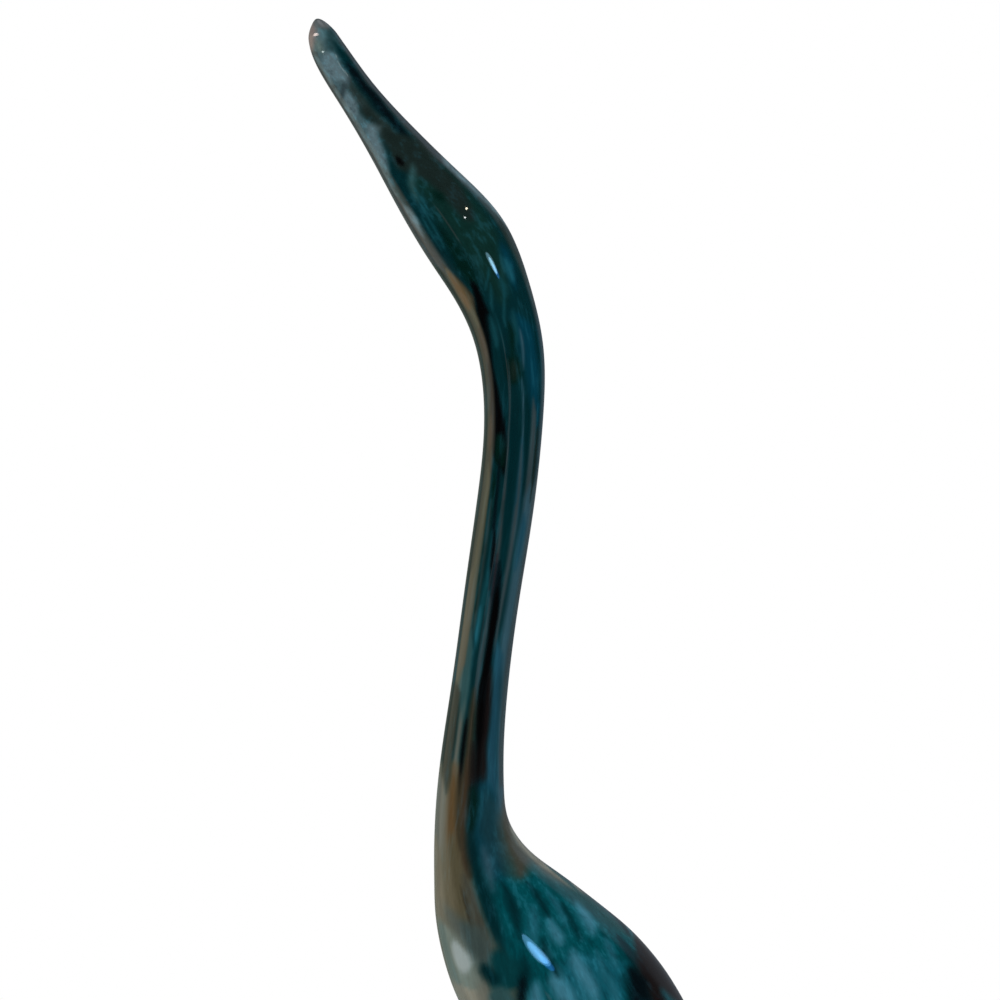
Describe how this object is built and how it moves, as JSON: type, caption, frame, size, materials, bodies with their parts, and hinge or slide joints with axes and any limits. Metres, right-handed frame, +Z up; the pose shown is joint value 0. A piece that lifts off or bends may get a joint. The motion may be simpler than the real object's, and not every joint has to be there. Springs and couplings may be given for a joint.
{
  "type": "swan figurine",
  "caption": "Smooth long-necked swan figurine with its bill raised and tail turned up, cast with a low oval base in glossy glazed ceramic.",
  "frame": {"origin": "middle of the object's plan on the table, under the body", "axes": "+X from the bill to the tail, +Y across the bird towards its right side, +Z up to the head"},
  "size_m": [0.1498, 0.066, 0.3385],
  "materials": {
    "glaze": "gloss"
  },
  "bodies": {
    "root": {"swan_casting": "glaze"}
  },
  "joints": []
}
